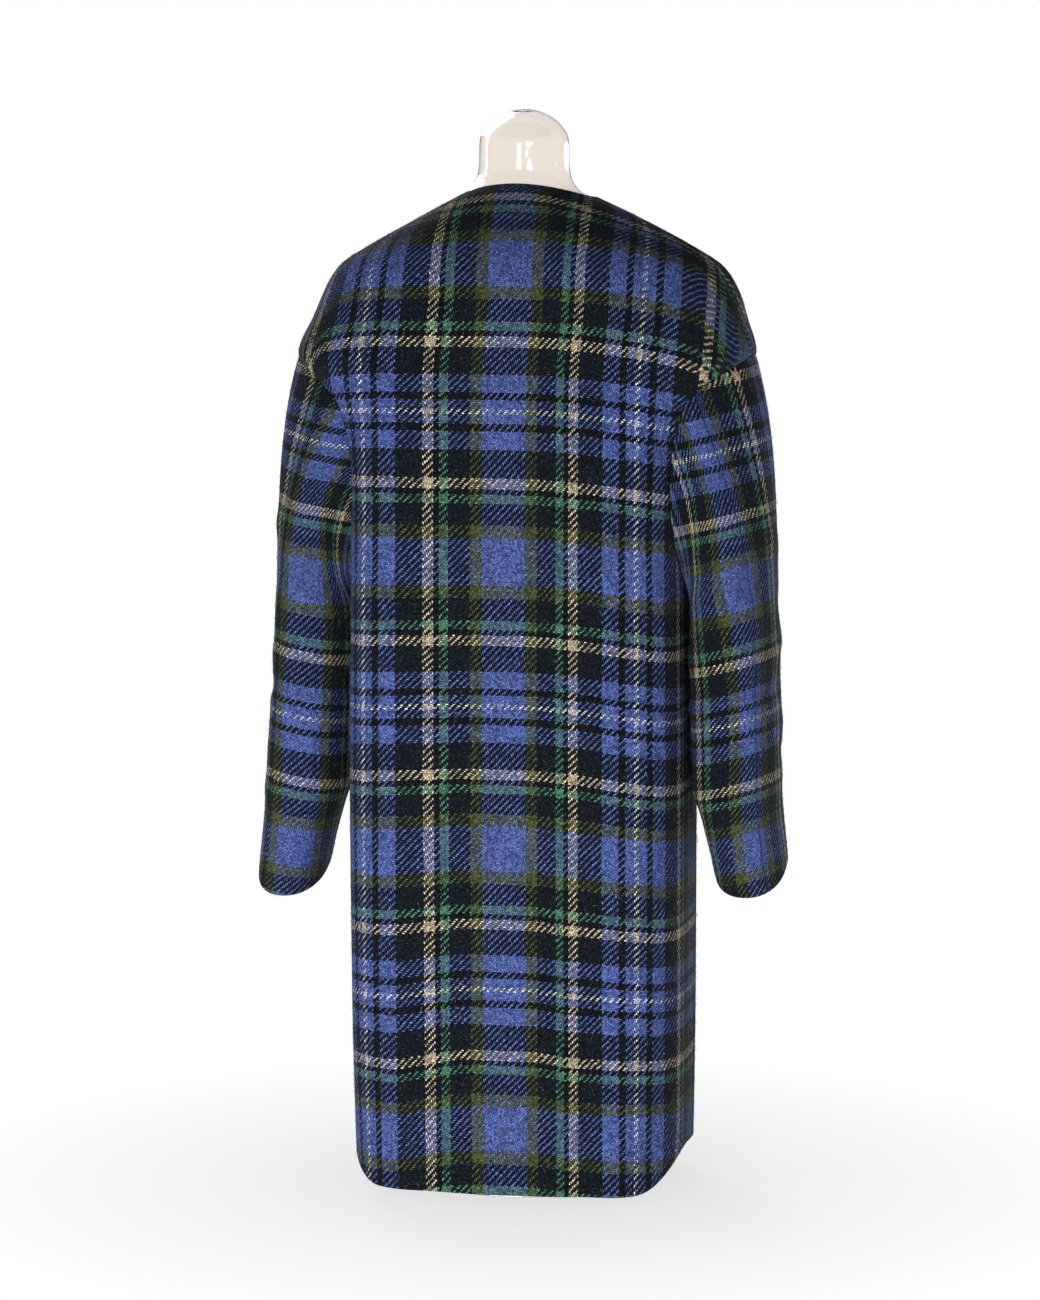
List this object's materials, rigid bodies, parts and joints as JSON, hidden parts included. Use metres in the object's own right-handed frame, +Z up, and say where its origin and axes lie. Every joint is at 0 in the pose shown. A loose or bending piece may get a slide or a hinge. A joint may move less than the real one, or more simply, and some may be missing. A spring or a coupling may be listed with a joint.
{
  "type": "single-breasted coat on dress form",
  "caption": "Knee-length collarless single-breasted coat in checked wool with dropped shoulders, worn by a clear limbless dress form on a short round-based stand.",
  "frame": {"origin": "middle of the underside of the stand's round base, on the surface that it stands on", "axes": "+Z up along the pole, -Y to the coat's front, +X to the wearer's left"},
  "size_m": [0.5331, 0.2868, 1.057],
  "materials": {
    "wool": "brushed twill",
    "button": "polished",
    "clear": "clear gloss",
    "steel": "satin"
  },
  "bodies": {
    "root": {"back": "wool", "front_left": "wool", "front_right": "wool", "sleeve_left_top": "wool", "sleeve_left_under": "wool", "sleeve_right_top": "wool", "sleeve_right_under": "wool", "button_1": "button", "button_2": "button", "button_3": "button", "button_4": "button", "form": "clear", "stand_base": "steel", "stand_pole": "steel", "stand_socket": "steel", "stand_flange": "steel"}
  },
  "joints": []
}
